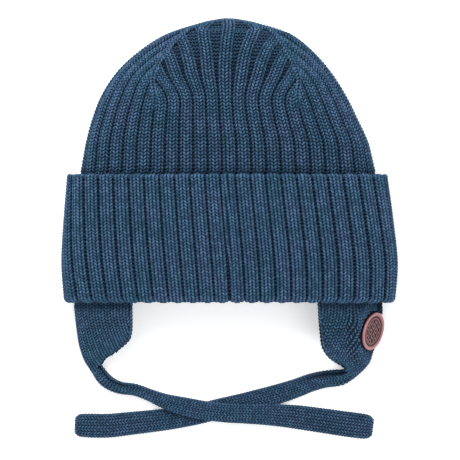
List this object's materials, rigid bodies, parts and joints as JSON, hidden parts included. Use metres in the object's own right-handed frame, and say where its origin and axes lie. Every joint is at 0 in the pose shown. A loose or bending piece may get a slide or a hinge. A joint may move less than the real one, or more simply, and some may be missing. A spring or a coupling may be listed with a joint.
{
  "type": "ribbed knit beanie",
  "caption": "Child's ribbed knit beanie with a turned-up cuff, ear flaps that run into flat knitted ties, and a round leather patch on one flap.",
  "frame": {"origin": "on the surface the hat rests on, in the middle of the cuff's back", "axes": "+Z from the back to the front of the hat, up as it lies; +Y from the mouth to the crown; +X to the viewer's right, towards the flap with the patch"},
  "size_m": [0.2155, 0.2696, 0.0479],
  "materials": {
    "crown_knit": "matt chunky two-by-two rib knit in petrol blue yarn",
    "cuff_knit": "matt chunky two-by-two rib knit in petrol blue yarn",
    "flap_knit": "matt fine stockinette knit in petrol blue yarn",
    "tie_knit": "matt fine stockinette knit in petrol blue yarn",
    "patch_leather": "pink-brown leather with a raised rim and an engraved face"
  },
  "bodies": {
    "root": {"crown": "crown_knit", "cuff": "cuff_knit", "ear_flap_left": "flap_knit", "ear_flap_right": "flap_knit", "tie_left": "tie_knit", "tie_right": "tie_knit", "leather_patch": "patch_leather"}
  },
  "joints": []
}
